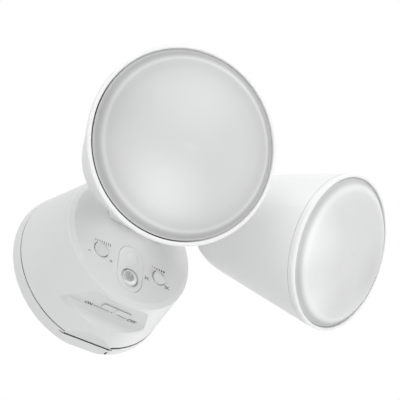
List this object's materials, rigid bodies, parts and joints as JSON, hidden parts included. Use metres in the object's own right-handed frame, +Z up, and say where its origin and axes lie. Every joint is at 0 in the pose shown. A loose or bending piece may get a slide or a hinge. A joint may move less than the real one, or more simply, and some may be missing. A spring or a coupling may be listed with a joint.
{
  "type": "motion sensor security light",
  "caption": "Wall-mounted motion sensor security light: tapered round base with sensor, dials and slide switch, and conical lamp heads on pan and tilt knuckles.",
  "frame": {"origin": "centre of the round wall plate, on the wall plane, midway between the box screws", "axes": "+Y into the wall, the light faces -Y; +Z up; +X to the right seen from the front"},
  "size_m": [0.2056, 0.207, 0.1541],
  "materials": {
    "white_plastic": "fine satin",
    "white_cast_metal": "satin powder coat",
    "opal_lens": "frosted opal",
    "control_plastic": "satin",
    "sensor_plastic": "smooth",
    "sensor_lens_plastic": "milky translucent",
    "photocell_plastic": "milky translucent",
    "steel": "zinc plated",
    "green_screw": "green passivated",
    "washers": "nylon",
    "gasket": "soft matt",
    "board": "solder mask",
    "electrics": "moulded",
    "terminals": "moulded",
    "lead_cover": "smooth",
    "reflector_white": "polished",
    "led_board_white": "solder mask",
    "sink_aluminium": "mill finish"
  },
  "bodies": {
    "base": {"crossbar": "steel", "earth_screw": "green_screw", "lock_spring": "steel", "back_plate": "white_plastic", "wall_gasket": "gasket", "wire_grommet": "gasket", "body_seal": "gasket", "base_housing": "white_plastic", "housing_screws": "steel", "driver_board": "board", "driver_parts": "electrics", "driver_screws": "steel", "terminal_block": "terminals", "sensor_board": "board", "pir_detector": "steel", "sensor_plate": "sensor_plastic", "photocell_window": "photocell_plastic", "sensor_lens": "sensor_lens_plastic", "dial_controls": "electrics", "mode_switch": "electrics", "arm_saddle": "white_plastic", "saddle_gasket": "gasket", "arm_screws": "steel", "arm_leads": "lead_cover", "arm_left": "white_cast_metal", "arm_right": "white_cast_metal"},
    "dimmer_dial": {"dimmer_dial": "control_plastic"},
    "colour_dial": {"colour_dial": "control_plastic"},
    "mode_slider": {"mode_slider": "control_plastic"},
    "knuckle_left": {"knuckle_left": "white_cast_metal", "pan_bolt_left": "steel", "pan_washers_left": "washers"},
    "head_left": {"tilt_bolt_left": "steel", "tilt_washers_left": "washers", "head_bracket_left": "white_cast_metal", "bracket_screws_left": "steel", "head_shell_left": "white_plastic", "head_rim_left": "white_plastic", "head_lens_left": "opal_lens", "lens_gasket_left": "gasket", "reflector_left": "reflector_white", "led_board_left": "led_board_white", "heat_sink_left": "sink_aluminium", "board_screws_left": "steel"},
    "knuckle_right": {"knuckle_right": "white_cast_metal", "pan_bolt_right": "steel", "pan_washers_right": "washers"},
    "head_right": {"tilt_bolt_right": "steel", "tilt_washers_right": "washers", "head_bracket_right": "white_cast_metal", "bracket_screws_right": "steel", "head_shell_right": "white_plastic", "head_rim_right": "white_plastic", "head_lens_right": "opal_lens", "lens_gasket_right": "gasket", "reflector_right": "reflector_white", "led_board_right": "led_board_white", "heat_sink_right": "sink_aluminium", "board_screws_right": "steel"}
  },
  "joints": [
    {"name": "pan_left", "type": "hinge", "parent": "base", "child": "knuckle_left", "pos_m": [-0.0334, -0.0725, 0.0216], "axis": [0, 0, -1], "range_deg": [-4, 55]},
    {"name": "tilt_left", "type": "hinge", "parent": "knuckle_left", "child": "head_left", "pos_m": [-0.03712, -0.08806, 0.0216], "axis": [0.9726, -0.2324, 0], "range_deg": [-50, 15]},
    {"name": "pan_right", "type": "hinge", "parent": "base", "child": "knuckle_right", "pos_m": [0.0334, -0.0725, 0.0216], "axis": [0, 0, 1], "range_deg": [-4, 55]},
    {"name": "tilt_right", "type": "hinge", "parent": "knuckle_right", "child": "head_right", "pos_m": [0.03712, -0.08806, 0.0216], "axis": [0.9726, 0.2324, 0], "range_deg": [-50, 15]},
    {"name": "dimmer_dial_turn", "type": "hinge", "parent": "base", "child": "dimmer_dial", "pos_m": [-0.0245, -0.05, -0.0214], "axis": [0, 1, 0], "range_deg": [-232, 0]},
    {"name": "colour_dial_turn", "type": "hinge", "parent": "base", "child": "colour_dial", "pos_m": [0.0245, -0.05, -0.0214], "axis": [0, 1, 0], "range_deg": [-232, 0]},
    {"name": "mode_slide", "type": "slide", "parent": "base", "child": "mode_slider", "axis": [1, 0, 0], "range_m": [-0.0042, 0.0042]}
  ]
}
